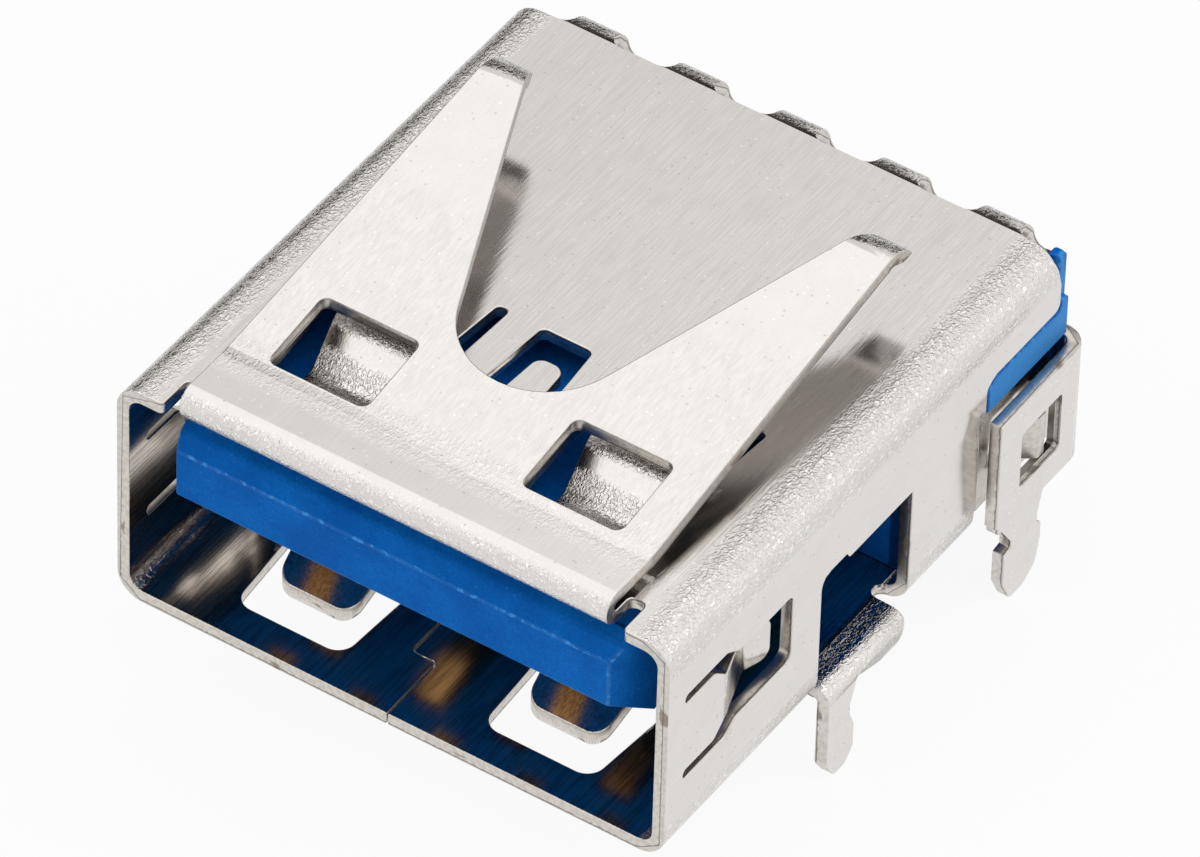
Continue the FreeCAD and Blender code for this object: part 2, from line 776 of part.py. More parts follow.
def shell():
    body = shell_tube()
    body = with_wall_fingers(body)
    body = with_side_fingers(body)
    body = body.cut([latch_opening(), seam(), lip_clearance()])
    body = with_front_legs(body)
    body = with_rear_sides(body)
    body = body.fuse(fold_and_spring()).cut(both_sides(lip_notch()))
    body = body.fuse([hinge_strips(), rear_cover()] + both_sides(rear_leg()))
    return one_solid(body)


# Contacts

def tail_outline(place_x, width):
    """Front view of a tail: straight, with a narrowed end."""
    half = width / 2
    return [(place_x - half, through), (place_x - half, -tail_drop + tail_point),
            (place_x - half / 2, -tail_drop), (place_x + half / 2, -tail_drop),
            (place_x + half, -tail_drop + tail_point), (place_x + half, through)]


def pointed(strip, place_x, width):
    return strip.common(plate(from_front, tail_outline(place_x, width), 0, 0, 2 * shell_depth))


def beam_contact(place_x):
    """Elastic contact: bowed out of its groove under the tongue, then back and down."""
    path = [(beam_tail_row, -tail_drop), (beam_tail_row, beam_level),
            (base_front - beyond, beam_level), (beam_bump, beam_level - beam_bump_drop),
            (beam_tip, beam_level - beam_bump_drop + beam_tip_rise)]
    strip = bent_strip(from_side, path, [contact_bend, beam_root_bend, beam_bump_bend], contact_sheet,
                       place_x - beam_width / 2, beam_width)
    return pointed(strip, place_x, tail_width)


def pad_contact(place_x):
    """Fixed contact: a pad flush with the tongue, then a step up, back and down."""
    path = [(pad_tail_row, -tail_drop), (pad_tail_row, pad_level), (pad_rear, pad_level),
            (pad_rear, pad_top), (pad_front, pad_top)]
    strip = bent_strip(from_side, path, [contact_bend] * 3, contact_sheet,
                       place_x - pad_width / 2, pad_width)
    return pointed(strip, place_x, tail_width)


# Housing

def tongue():
    side_view = [(tongue_front, tongue_low), (base_front + sheet, tongue_low), (base_front + sheet, tongue_high),
                 (tongue_front + tongue_brow_depth, tongue_high),
                 (tongue_front + tongue_brow_depth / 3, tongue_high - tongue_brow_drop),
                 (tongue_front, tongue_crest)]
    body = plate(from_side, side_view, [0, 0, 0, wide_radius, soft_radius, 0], -tongue_half_width,
                 2 * tongue_half_width)
    corner = [(-tongue_half_width, tongue_front - beyond),
              (tongue_half_width - tongue_corner_width, tongue_front - beyond),
              (tongue_half_width - tongue_corner_width, tongue_front),
              (tongue_half_width, tongue_front + tongue_corner_depth), (tongue_half_width, base_front + beyond),
              (-tongue_half_width, base_front + beyond)]
    return body.common(plate(in_plan, corner, 0, 0, height))


def grooves():
    cuts = []
    for place_x in beam_positions:
        cuts.append(block(place_x - groove_width / 2, place_x + groove_width / 2, groove_front,
                          base_front, tongue_low - beyond, groove_top))
    return cuts


def housing_body():
    half = inner_half_width - fit
    low = sheet + fit
    high = height - sheet - fit

    def inside(start, depth):
        """What fills the tube with the named fit, its corners rounded like the sheet's."""
        return plate(from_front, [(-half, low), (half, low), (half, high), (-half, high)],
                     corner_radius - sheet, start, depth)
    base = inside(base_front, base_rear - base_front)
    cheek = block(cheek_inner, half, base_rear - sheet, ear_front - rib_fit, cheek_low, high)
    cheeks = inside(base_rear - sheet, shell_depth).common(Part.makeCompound(both_sides(cheek)))
    post = block(cheek_inner, half, ear_front - sheet, housing_rear, cheek_low, strip_gap_floor - rib_fit)
    roof = block(-cheek_inner, cheek_inner, base_rear - sheet, roof_rear, roof_low, high)
    flap_room = block(flap_inner_face - fit, half_width, rear_slot_front - sheet, housing_rear,
                      -beyond, rib_low)
    return base.fuse([roof, cheeks] + both_sides(post)).cut(both_sides(flap_room))


def rib():
    """Bar that fills the gap of the side wall, and the ear behind the wall's end."""
    front = rib_cut_front + rib_fit
    top = rib_cut_top - rib_fit
    outline = [(front, rib_low), (housing_rear, rib_low), (housing_rear, rib_high), (ear_front, rib_high),
               (ear_front, top), (front, top)]
    radii = [0, 0, edge_radius, 0, 0, wide_radius]
    bar = plate(from_side, outline, radii, inner_half_width - beyond, sheet + beyond)
    ear = plate(from_front, [(ear_inner, rib_high - beyond), (ear_face, rib_high - beyond),
                             (ear_face, ear_high), (ear_inner, ear_high)],
                [0, 0, ear_radius, small_radius], ear_front, housing_rear - ear_front)
    return bar.fuse(ear)


def spacer_hole(place_x, row):
    return block(place_x - tail_width / 2, place_x + tail_width / 2, row - contact_sheet, row,
                 spacer_low - beyond, spacer_high + beyond)


def tail_spacer():
    """Plate between the cheeks that keeps the tails in their two rows."""
    body = block(-cheek_inner, cheek_inner, spacer_front, spacer_rear, spacer_low, spacer_high)
    holes = [spacer_hole(place_x, beam_tail_row) for place_x in beam_positions]
    holes += [spacer_hole(place_x, pad_tail_row) for place_x in pad_positions]
    return one_solid(body.cut(holes))


def housing(contacts):
    body = housing_body().fuse([tongue()] + both_sides(rib()))
    return one_solid(body.cut(grooves()).cut(contacts))


def export(shape, name):
    shape.exportStep("parts/" + name + ".step")


contacts = {}
for name, place_x in zip(beam_names, beam_positions):
    contacts[name] = one_solid(beam_contact(place_x))
for name, place_x in zip(pad_names, pad_positions):
    contacts[name] = one_solid(pad_contact(place_x))
export(shell(), "shell")
export(housing(list(contacts.values())), "housing")
export(tail_spacer(), "tail_spacer")
for name, contact in contacts.items():
    export(contact, name)
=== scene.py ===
import math
import bmesh
import bpy
from mathutils import Matrix, Vector
from mathutils.bvhtree import BVHTree
from mathutils.kdtree import KDTree


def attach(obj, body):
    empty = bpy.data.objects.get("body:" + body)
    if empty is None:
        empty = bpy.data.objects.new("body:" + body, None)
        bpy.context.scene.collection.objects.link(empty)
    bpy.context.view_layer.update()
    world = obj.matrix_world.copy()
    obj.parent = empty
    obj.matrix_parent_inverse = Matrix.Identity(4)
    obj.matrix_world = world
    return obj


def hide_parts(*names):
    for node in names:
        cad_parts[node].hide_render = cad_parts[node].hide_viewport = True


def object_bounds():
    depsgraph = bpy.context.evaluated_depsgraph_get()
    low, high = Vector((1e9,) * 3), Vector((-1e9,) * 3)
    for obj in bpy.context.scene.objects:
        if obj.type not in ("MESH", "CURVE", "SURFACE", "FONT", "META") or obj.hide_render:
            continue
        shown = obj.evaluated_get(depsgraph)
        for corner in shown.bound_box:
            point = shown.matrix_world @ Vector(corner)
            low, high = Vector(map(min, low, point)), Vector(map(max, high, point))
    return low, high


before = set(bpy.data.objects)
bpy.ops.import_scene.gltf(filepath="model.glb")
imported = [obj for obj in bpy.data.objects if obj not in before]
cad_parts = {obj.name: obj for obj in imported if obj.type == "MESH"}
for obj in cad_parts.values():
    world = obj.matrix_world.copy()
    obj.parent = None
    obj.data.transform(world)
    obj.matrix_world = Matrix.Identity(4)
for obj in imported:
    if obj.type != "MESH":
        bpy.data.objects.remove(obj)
cad_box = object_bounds()

MM = 0.001

# The photograph's camera: where it stands, how far it is turned, and where the middle of the socket lies
VIEW_AZIMUTH = math.radians(32.84)
VIEW_ELEVATION = math.radians(43.60)
VIEW_ROLL = math.radians(1.77)
SENSOR_WIDTH = 36.0
PICTURE_WIDTH = 1200
PICTURE_HEIGHT = 857
LENS_PIXELS = 13007
CAMERA_DISTANCE = 258.8 * MM
MIDDLE = Vector((0, 7.0, 2.8)) * MM
MIDDLE_PIXEL = (589.4, 422.3)
CLIP_START = 0.01
CLIP_END = 10

# The shell's sheet, and the edge roundings
SHEET = 0.30 * MM
SHEET_LIMIT = 1.15 * SHEET
HALF_WIDTH = 6.55 * MM
HEIGHT = 5.72 * MM
CORNER = 0.62 * MM
EDGE_ROUNDING = 0.030 * MM
PLASTIC_ROUNDING = 0.045 * MM
ROUNDING_SEGMENTS = 2
NORMAL_WEIGHT = 100

# The arm tips end a little sooner than on the CAD part, and the left ear stays lower, as in the photograph
ARM_TIP_FRONT = 10.60 * MM
ARM_UNDERSIDE = 6.00 * MM
ARM_TIP_LEVEL = 7.02 * MM
EAR_FRONT = 14.07 * MM
EAR_INNER = 6.10 * MM
EAR_LEVEL = 4.90 * MM

# Angles between faces: still flat, still the same side of the sheet, and sharp enough to be rounded
FLAT_ANGLE = math.radians(0.5)
SMOOTH_BEND = math.radians(35)
SHARP_STEEL = math.radians(40)
SHARP_PLASTIC = math.radians(14)

# Small distances, and what counts as a triangle that the rounding has turned over
SAME_CORNER = 1e-8
ON_THE_CUT = 1e-9
HAIR = 1e-7
JOINED = 0.01 * MM
SLIVER_AREA = 1e-13
UPRIGHT = 0.7
CROWDED_REACH = 0.08 * MM
ROUNDING_ATTEMPTS = 10

# Material slots of the dressed pieces; with the last one a rounding looks like the faces beside it
PLATED_SLOT = 0
PUNCHED_SLOT = 1
BLUE_EDGE_SLOT = 1
NEIGHBOUR_SLOT = -1

# Floor, room, dark card and lamps, in metres
FLOOR_LEVEL = cad_box[0].z
FLOOR_HALF = 1.5
FLOOR_GREY = 0.86
FLOOR_SHADOW_SHARE = 0.08
ROOM_TINT = (1, 0.995, 0.985, 1)
ROOM_LIGHT = 0.22
ROOM_SEEN = 0.92
CARD_RADIUS = 0.070
CARD_HEIGHT = 0.042
CARD_LIFT = 0.0002
CARD_STEPS = 24
CARD_START = math.radians(-10)
CARD_END = math.radians(105)
CARD_COLOUR = (0.10, 0.09, 0.085, 1)
SHEEN_NEARER = 0.97
LAMPS = (
    # name, direction, distance, size, light, sheen in metal
    ("overhead", (-0.02, -0.05, 1.0), 0.22, 0.34, 1.30, 0.38),
    ("right", (0.9, 0.50, 0.42), 0.30, 0.22, 1.80, 0.30),
    ("front", (-0.55, -0.85, 0.55), 0.30, 0.20, 1.20, 0.30),
)

# Sockets that share a name and go by number: the colours of a Mix node, and the vectors of a Map Range node
MIX_FIRST = 6
MIX_SECOND = 7
FROM_LOW = 7
FROM_HIGH = 8
TO_LOW = 9
TO_HIGH = 10

# Boxes of the socket in millimetres: low corner, high corner, soft border
TUBE_BOX = ((-1, -1, -0.05), (6.60, 14.0, 5.77), 0.02)
TOP_WALL_BOX = ((-6.3, 1.9, 5.5), (6.3, 14.0, 6.9), 0.2)
# Where the inner side of the sheet gets painted shade and painted reflections of the contacts
MOUTH_SHADE_BOX = ((-6.4, -0.3, 0.2), (6.4, 10.0, 5.5), 0.04)
# Where painted shade darkens the blue inside the leg holes
HOLE_SHADE_BOX = ((5.8, 7.5, 0.3), (6.26, 11.3, 4.6), 0.05)

# Where the sheet is bent, as boxes of its right half in millimetres: low corner, high corner, soft border,
# depth of the wrinkles
BENDS = {
    "lip": ((-1, -0.2, 5.30), (5.20, 0.10, 6.40), 0.15, 1.0),
    "spring bend": ((-1, 1.3, 5.90), (5.20, 1.9, 6.60), 0.35, 0.4),
    "arm tips": ((3.0, 10.45, 6.2), (6.0, 11.6, 8.0), 0.25, 1.0),
    "strips": ((-1, 14.05, 4.2), (5.95, 15.0, 6.0), 0.15, 1.0),
    "cover corners": ((6.60, 14.35, -0.5), (7.2, 15.0, 3.4), 0.10, 1.0),
    "front leg": ((6.25, 5.2, -0.05), (7.2, 8.6, 0.40), 0.08, 1.0),
    "flap": ((5.9, 11.05, 2.6), (6.60, 11.50, 3.2), 0.10, 1.0),
    "fingers": ((1.6, 2.6, -0.2), (4.4, 3.5, 5.55), 0.15, 1.0),
    "finger roots": ((1.4, 4.0, -0.2), (4.8, 4.3, 5.8), 0.12, 1.0),
    "side finger": ((5.0, 2.0, 1.6), (6.7, 2.3, 4.0), 0.10, 1.0),
}
BEND_BEFORE = 0.45 * MM
BEND_AFTER = 0.05 * MM


class Crinkle:
    """Wrinkles: how many a metre, how drawn out, and which part of the noise is slope and which is the ridges
    that get a painted highlight.
    """
    scale = 15500.0
    drawn_out = 0.6
    detail = 2.0
    distortion = 0.9
    slope = (0.32, 0.68)
    painted_ridge_highlight = (0.56, 0.68)


class Brushing:
    """Brushed lines: how many a metre across and along them, and how few become scratches."""
    across = 21000.0
    along = 900.0
    detail = 3.0
    roughness = 0.6
    scratch_stretch = (0.45, 0.28, 0.45)
    scratch_detail = 1.0
    scratch = (0.70, 0.76)


class Specks:
    """Dots: how soft their border is."""
    border = (0.30, 0.12)


class Grain:
    """Grain: how rough it is, and how much wider its uneven tone is."""
    detail = 2.0
    roughness = 0.6
    tone_share = 0.09
    tone_detail = 4.0
    tone = (0.30, 0.70)


class Plating:
    """Bright plating on steel."""
    dull = (0.700, 0.675, 0.652)
    fresh = (0.725, 0.700, 0.677)
    grain_scale = 16000.0
    speck_scale = 8500.0
    speck_share = 0.10
    brushing_off_the_top = 0.30
    scratch = (0.50, 0.485, 0.46)
    scratch_strength = 0.35
    dark_speck = (0.20, 0.18, 0.17)
    dark_speck_strength = 0.35
    streak = (0.60, 0.575, 0.55)
    streak_limits = (0.36, 0.64)
    streak_strength = 0.5
    light_speck = (0.90, 0.88, 0.86)
    light_speck_strength = 0.6
    # Painted highlight on the ridges of the wrinkles in the bends
    painted_ridge_highlight = (0.95, 0.93, 0.88)
    painted_ridge_highlight_strength = 0.75
    # Painted shade mixed in streaks with brownish painted reflections of the copper contacts, on the inner side
    # of the sheet in the mouth
    painted_copper_reflection = (0.60, 0.51, 0.41)
    painted_mouth_shade = (0.22, 0.165, 0.12)
    shade_and_reflection_limits = (0.42, 0.60)
    shade_and_reflection_strength = 0.62
    roughness = (0.14, 0.18)
    line_depth = 0.0020 * MM
    grain_depth = 0.0008 * MM
    grain_strength = 0.5
    wrinkle_depth = 0.009 * MM


class Punched:
    """Punched edge of the sheet; the limits of the line and the tear are shares of its thickness."""
    torn_scale = 9000.0
    torn_detail = 3.0
    patch_scale = 900.0
    patch_detail = 2.0
    wander = 0.22
    line_start = (0.74, 0.80)
    line_end = (0.92, 0.84)
    tear_start = (0.40, 0.50)
    tear_patches = (0.64, 0.70)
    smooth = (0.66, 0.63, 0.59)
    dull = (0.56, 0.53, 0.49)
    dull_limits = (0.40, 0.62)
    line = (0.10, 0.08, 0.065)
    line_strength = 0.75
    tear = (0.20, 0.15, 0.11)
    tear_strength = 0.7
    roughness = (0.32, 0.50)
    depth = 0.004 * MM
    strength = 0.6


class Blue:
    """Satin blue plastic."""
    deep = (0.001, 0.130, 0.540)
    clear = (0.002, 0.175, 0.650)
    grain_scale = 11000.0
    pore = (0.000, 0.075, 0.350)
    pore_scale = 21000.0
    pore_limits = (0.42, 0.64)
    pore_strength = 0.35
    fleck = (0.03, 0.30, 0.78)
    fleck_scale = 9500.0
    fleck_share = 0.12
    fleck_strength = 0.4
    # Painted light: the side bars are made paler, in place of the light that falls on them from the right
    painted_side_light = (0.050, 0.270, 0.680)
    painted_side_light_limits = (6.30 * MM, 6.40 * MM)
    # Painted shade inside the leg holes
    painted_hole_shade = (0.000, 0.020, 0.090)
    painted_hole_shade_strength = 0.8
    roughness = 0.50
    specular = 0.05
    depth = 0.016 * MM
    strength = 0.9


class BlueEdge:
    """The same plastic on its edges."""
    deep = (0.003, 0.130, 0.520)
    clear = (0.010, 0.190, 0.640)
    # Painted highlight: lighter patches along the edges of the plastic
    painted_edge_highlight = (0.05, 0.33, 0.82)
    painted_edge_highlight_scale = 6500.0
    painted_edge_highlight_detail = 3.0
    painted_edge_highlight_limits = (0.50, 0.66)
    roughness = 0.45
    specular = 0.15
    depth = 0.010 * MM
    strength = 0.8


class Copper:
    """Copper alloy of the contacts."""
    deep = (0.76, 0.44, 0.17)
    clear = (0.84, 0.54, 0.25)
    grain_scale = 12000.0
    lines_across = 24000.0
    lines_along = 1500.0
    scratch = (0.45, 0.24, 0.08)
    scratch_strength = 0.5
    roughness = 0.30
    depth = 0.0015 * MM
    strength = 0.6


# Node trees

def feed(tree, socket, value):
    """Links the value to the socket, or sets it there."""
    if isinstance(value, bpy.types.NodeSocket):
        tree.links.new(value, socket)
    else:
        socket.default_value = value


def add(tree, kind, values=None, **settings):
    """A shader node with its settings, and a value or a link for each socket named."""
    node = tree.nodes.new("ShaderNode" + kind)
    for name, value in settings.items():
        setattr(node, name, value)
    for name, value in (values or {}).items():
        feed(tree, node.inputs[name], value)
    return node


def calc(tree, operation, first, second=0.0):
    return add(tree, "Math", {0: first, 1: second}, operation=operation).outputs[0]


def scaled(tree, vector, factors):
    return add(tree, "VectorMath", {0: vector, 1: factors}, operation="MULTIPLY").outputs[0]


def combined(tree, across, depth, height):
    return add(tree, "CombineXYZ", {"X": across, "Y": depth, "Z": height}).outputs[0]


def separated(tree, vector):
    return add(tree, "SeparateXYZ", {0: vector}).outputs


def blend_colour(tree, amount, first, second):
    node = add(tree, "Mix", {"Factor": amount}, data_type="RGBA")
    for index, colour in ((MIX_FIRST, first), (MIX_SECOND, second)):
        linked = isinstance(colour, bpy.types.NodeSocket)
        feed(tree, node.inputs[index], colour if linked else (*colour, 1))
    return node.outputs[2]


def tint(tree, colour, mark, *shares):
    """The colour with a mark over it, as strong as the product of the shares."""
    amount = shares[0]
    for share in shares[1:]:
        amount = calc(tree, "MULTIPLY", amount, share)
    return blend_colour(tree, amount, colour, mark)


def ramp(tree, value, limits, levels=(0.0, 1.0)):
    """A soft step: the first level at the first limit, the second level at the second."""
    return add(tree, "MapRange", {"Value": value, "From Min": limits[0], "From Max": limits[1],
                                  "To Min": levels[0], "To Max": levels[1]},
               interpolation_type="SMOOTHSTEP").outputs[0]


def noise(tree, vector, scale, detail, roughness=0.5, distortion=0.0):
    return add(tree, "TexNoise", {"Vector": vector, "Scale": scale, "Detail": detail, "Roughness": roughness,
                                  "Distortion": distortion}).outputs[0]


def group(name, inputs, outputs):
    """An empty shader node group with its sockets, and its input and output nodes."""
    tree = bpy.data.node_groups.new(name, "ShaderNodeTree")
    for label, kind, value in inputs:
        socket = tree.interface.new_socket(label, in_out="INPUT", socket_type="NodeSocket" + kind)
        if value is not None:
            socket.default_value = value
    for label in outputs:
        tree.interface.new_socket(label, in_out="OUTPUT", socket_type="NodeSocketFloat")
    return tree, tree.nodes.new("NodeGroupInput").outputs, tree.nodes.new("NodeGroupOutput").inputs


def place(tree, which, values):
    """The outputs of a node group that is put into the tree with these values and links."""
    node = tree.nodes.new("ShaderNodeGroup")
    node.node_tree = which
    for name, value in values.items():
        feed(tree, node.inputs[name], value)
    return node.outputs


def soft_box_group():
    """1 inside a box of the socket and 0 outside it, with a soft border."""
    tree, given, result = group("Soft box", [("Position", "Vector", None), ("Low", "Vector", None),
                                             ("High", "Vector", None), ("Fade", "Float", None)], ["Mask"])
    fade = combined(tree, given["Fade"], given["Fade"], given["Fade"])
    before = add(tree, "VectorMath", {0: given["Low"], 1: fade}, operation="SUBTRACT").outputs[0]
    after = add(tree, "VectorMath", {0: given["High"], 1: fade}, operation="ADD").outputs[0]
    sides = []
    for low, high, start, end in ((before, given["Low"], 0, 1), (given["High"], after, 1, 0)):
        side = add(tree, "MapRange", {"Vector": given["Position"], FROM_LOW: low, FROM_HIGH: high,
                                      TO_LOW: [start] * 3, TO_HIGH: [end] * 3}, data_type="FLOAT_VECTOR")
        sides.append(side.outputs["Vector"])
    axes = separated(tree, scaled(tree, sides[0], sides[1]))
    flat = calc(tree, "MULTIPLY", axes[0], axes[1])
    tree.links.new(calc(tree, "MULTIPLY", flat, axes[2]), result["Mask"])
    return tree


def crinkle_group():
    """Worm-like wrinkles, as a bend leaves them in plated sheet, a little drawn out into the depth; the tone
    marks their ridges for a painted highlight.
    """
    tree, given, result = group("Crinkle", [("Position", "Vector", None), ("Scale", "Float", Crinkle.scale),
                                            ("Drawn out", "Float", Crinkle.drawn_out)], ["Height", "Tone"])
    depth = calc(tree, "MULTIPLY", given["Scale"], given["Drawn out"])
    drawn = scaled(tree, given["Position"], combined(tree, given["Scale"], depth, given["Scale"]))
    worms = noise(tree, drawn, 1.0, Crinkle.detail, distortion=Crinkle.distortion)
    tree.links.new(ramp(tree, worms, Crinkle.slope), result["Height"])
    # Tone: the ridges that get a painted highlight
    tree.links.new(ramp(tree, worms, Crinkle.painted_ridge_highlight), result["Tone"])
    return tree


def brushing_group():
    """Fine lines that run into the depth, with a few longer scratches."""
    tree, given, result = group("Brushing", [("Position", "Vector", None), ("Across", "Float", Brushing.across),
                                             ("Along", "Float", Brushing.along)], ["Height", "Scratch"])
    drawn = scaled(tree, given["Position"], combined(tree, given["Across"], given["Along"], given["Across"]))
    tree.links.new(noise(tree, drawn, 1.0, Brushing.detail, Brushing.roughness), result["Height"])
    few = noise(tree, scaled(tree, drawn, Brushing.scratch_stretch), 1.0, Brushing.scratch_detail)
    tree.links.new(ramp(tree, few, Brushing.scratch), result["Scratch"])
    return tree


def specks_group():
    """Scattered small dots: Light and Dark hold about the same number."""
    tree, given, result = group("Specks", [("Position", "Vector", None), ("Scale", "Float", None),
                                           ("Share", "Float", None)], ["Light", "Dark"])
    cells = add(tree, "TexVoronoi", {"Vector": given["Position"], "Scale": given["Scale"]})
    dot = ramp(tree, cells.outputs["Distance"], Specks.border)
    pick = add(tree, "SeparateColor", {0: cells.outputs["Color"]}).outputs
    for index, name in ((0, "Light"), (1, "Dark")):
        chosen = calc(tree, "LESS_THAN", pick[index], given["Share"])
        tree.links.new(calc(tree, "MULTIPLY", dot, chosen), result[name])
    return tree


def grain_group():
    """Fine moulded or etched grain with soft unevenness of tone."""
    tree, given, result = group("Grain", [("Position", "Vector", None), ("Scale", "Float", None)],
                                ["Height", "Tone"])
    fine = noise(tree, given["Position"], given["Scale"], Grain.detail, Grain.roughness)
    tree.links.new(fine, result["Height"])
    wide_scale = calc(tree, "MULTIPLY", given["Scale"], Grain.tone_share)
    wide = noise(tree, given["Position"], wide_scale, Grain.tone_detail)
    tree.links.new(ramp(tree, wide, Grain.tone), result["Tone"])
    return tree


SOFT_BOX = soft_box_group()
CRINKLE = crinkle_group()
BRUSHING = brushing_group()
SPECKS = specks_group()
GRAIN = grain_group()


# Materials

def new_material(name):
    """A material with one Principled shader, with its tree, the shader and the object's position."""
    material = bpy.data.materials.new(name)
    material.use_nodes = True
    tree = material.node_tree
    shader = tree.nodes["Principled BSDF"]
    position = add(tree, "TexCoord").outputs["Object"]
    return material, tree, shader, position


def bump(tree, shader, height, depth, strength=1.0, normal=None):
    values = {"Height": height, "Distance": depth, "Strength": strength}
    if normal is not None:
        values["Normal"] = normal
    node = add(tree, "Bump", values)
    tree.links.new(node.outputs[0], shader.inputs["Normal"])
    return node.outputs[0]


def box_mask(tree, position, low, high, fade):
    """The soft box between two corners that are given in millimetres."""
    return place(tree, SOFT_BOX, {"Position": position, "Low": Vector(low) * MM, "High": Vector(high) * MM,
                                  "Fade": fade * MM})["Mask"]


def through_sheet(tree):
    """0 on the inner side of the sheet and 1 on its outer side."""
    return add(tree, "Attribute", attribute_name="through").outputs["Fac"]


def right_half(tree, position):
    """The position with the left half of the socket laid over the right one."""
    axes = separated(tree, position)
    return combined(tree, calc(tree, "ABSOLUTE", axes[0]), axes[1], axes[2])


def bend_mask(tree, position):
    """1 on the bends of the sheet, 0 on its flats."""
    right = right_half(tree, position)
    axes = separated(tree, right)
    level = calc(tree, "ABSOLUTE", calc(tree, "SUBTRACT", axes[2], HEIGHT / 2))
    reach = calc(tree, "ADD", axes[0], level)
    bend = HALF_WIDTH + HEIGHT / 2 - CORNER
    corner = ramp(tree, reach, (bend - BEND_BEFORE, bend - BEND_AFTER))
    mask = calc(tree, "MULTIPLY", corner, box_mask(tree, right, *TUBE_BOX))
    for low, high, fade, strength in BENDS.values():
        wrinkled = calc(tree, "MULTIPLY", box_mask(tree, right, low, high, fade), strength)
        mask = calc(tree, "MAXIMUM", mask, wrinkled)
    return mask


def plated_sheet():
    """Bright plating: brushed flats, wrinkled bends with a painted highlight on their ridges, fine specks, and
    inside the mouth painted shade mixed in streaks with brownish painted reflections of the contacts.
    """
    material, tree, shader, position = new_material("plated_sheet")
    bent = bend_mask(tree, position)
    lines = place(tree, BRUSHING, {"Position": position})
    wrinkles = place(tree, CRINKLE, {"Position": position})
    dots = place(tree, SPECKS, {"Position": position, "Scale": Plating.speck_scale,
                                "Share": Plating.speck_share})
    grain = place(tree, GRAIN, {"Position": position, "Scale": Plating.grain_scale})
    top_wall = box_mask(tree, position, *TOP_WALL_BOX)
    brushed = ramp(tree, top_wall, (0.0, 1.0), (Plating.brushing_off_the_top, 1.0))
    streaks = ramp(tree, lines["Height"], Plating.streak_limits, (0.0, Plating.streak_strength))
    mouth = box_mask(tree, position, *MOUTH_SHADE_BOX)
    inner_side = calc(tree, "SUBTRACT", 1.0, through_sheet(tree))
    # Painted shade and painted reflections of the contacts, mixed in streaks along the brushing
    mouth_shade_and_reflection = blend_colour(tree, ramp(tree, lines["Height"], Plating.shade_and_reflection_limits), Plating.painted_copper_reflection,
                         Plating.painted_mouth_shade)
    colour = blend_colour(tree, grain["Tone"], Plating.dull, Plating.fresh)
    colour = tint(tree, colour, Plating.scratch, lines["Scratch"], brushed, Plating.scratch_strength)
    colour = tint(tree, colour, Plating.dark_speck, dots["Dark"], Plating.dark_speck_strength)
    colour = tint(tree, colour, Plating.streak, streaks, brushed)
    colour = tint(tree, colour, Plating.light_speck, dots["Light"], Plating.light_speck_strength)
    # Painted highlight on the ridges of the wrinkles in the bends
    colour = tint(tree, colour, Plating.painted_ridge_highlight, bent, wrinkles["Tone"], Plating.painted_ridge_highlight_strength)
    # Painted shade and painted reflections on the inner side of the sheet inside the mouth
    colour = tint(tree, colour, mouth_shade_and_reflection, mouth, inner_side, Plating.shade_and_reflection_strength)
    tree.links.new(colour, shader.inputs["Base Color"])
    shader.inputs["Metallic"].default_value = 1.0
    tree.links.new(ramp(tree, bent, (0.0, 1.0), Plating.roughness), shader.inputs["Roughness"])
    lined = bump(tree, shader, calc(tree, "MULTIPLY", lines["Height"], brushed), Plating.line_depth)
    grained = bump(tree, shader, grain["Height"], Plating.grain_depth, Plating.grain_strength, lined)
    bump(tree, shader, calc(tree, "MULTIPLY", wrinkles["Height"], bent), Plating.wrinkle_depth, normal=grained)
    return material


def punched_edge():
    """Punched edge of the sheet: smooth and light, with a thin dark line and a few torn patches."""
    material, tree, shader, position = new_material("sheared_edge")
    torn = noise(tree, position, Punched.torn_scale, Punched.torn_detail)
    patches = noise(tree, position, Punched.patch_scale, Punched.patch_detail)
    unevenness = calc(tree, "MULTIPLY", calc(tree, "SUBTRACT", torn, 0.5), Punched.wander)
    depth = calc(tree, "ADD", through_sheet(tree), unevenness)
    line = calc(tree, "MULTIPLY", ramp(tree, depth, Punched.line_start), ramp(tree, depth, Punched.line_end))
    patch = ramp(tree, patches, Punched.tear_patches)
    tear = calc(tree, "MULTIPLY", ramp(tree, depth, Punched.tear_start), patch)
    colour = blend_colour(tree, ramp(tree, torn, Punched.dull_limits), Punched.smooth, Punched.dull)
    colour = tint(tree, colour, Punched.line, line, Punched.line_strength)
    colour = tint(tree, colour, Punched.tear, tear, Punched.tear_strength)
    tree.links.new(colour, shader.inputs["Base Color"])
    shader.inputs["Metallic"].default_value = 1.0
    tree.links.new(ramp(tree, tear, (0.0, 1.0), Punched.roughness), shader.inputs["Roughness"])
    bump(tree, shader, torn, Punched.depth, Punched.strength)
    return material


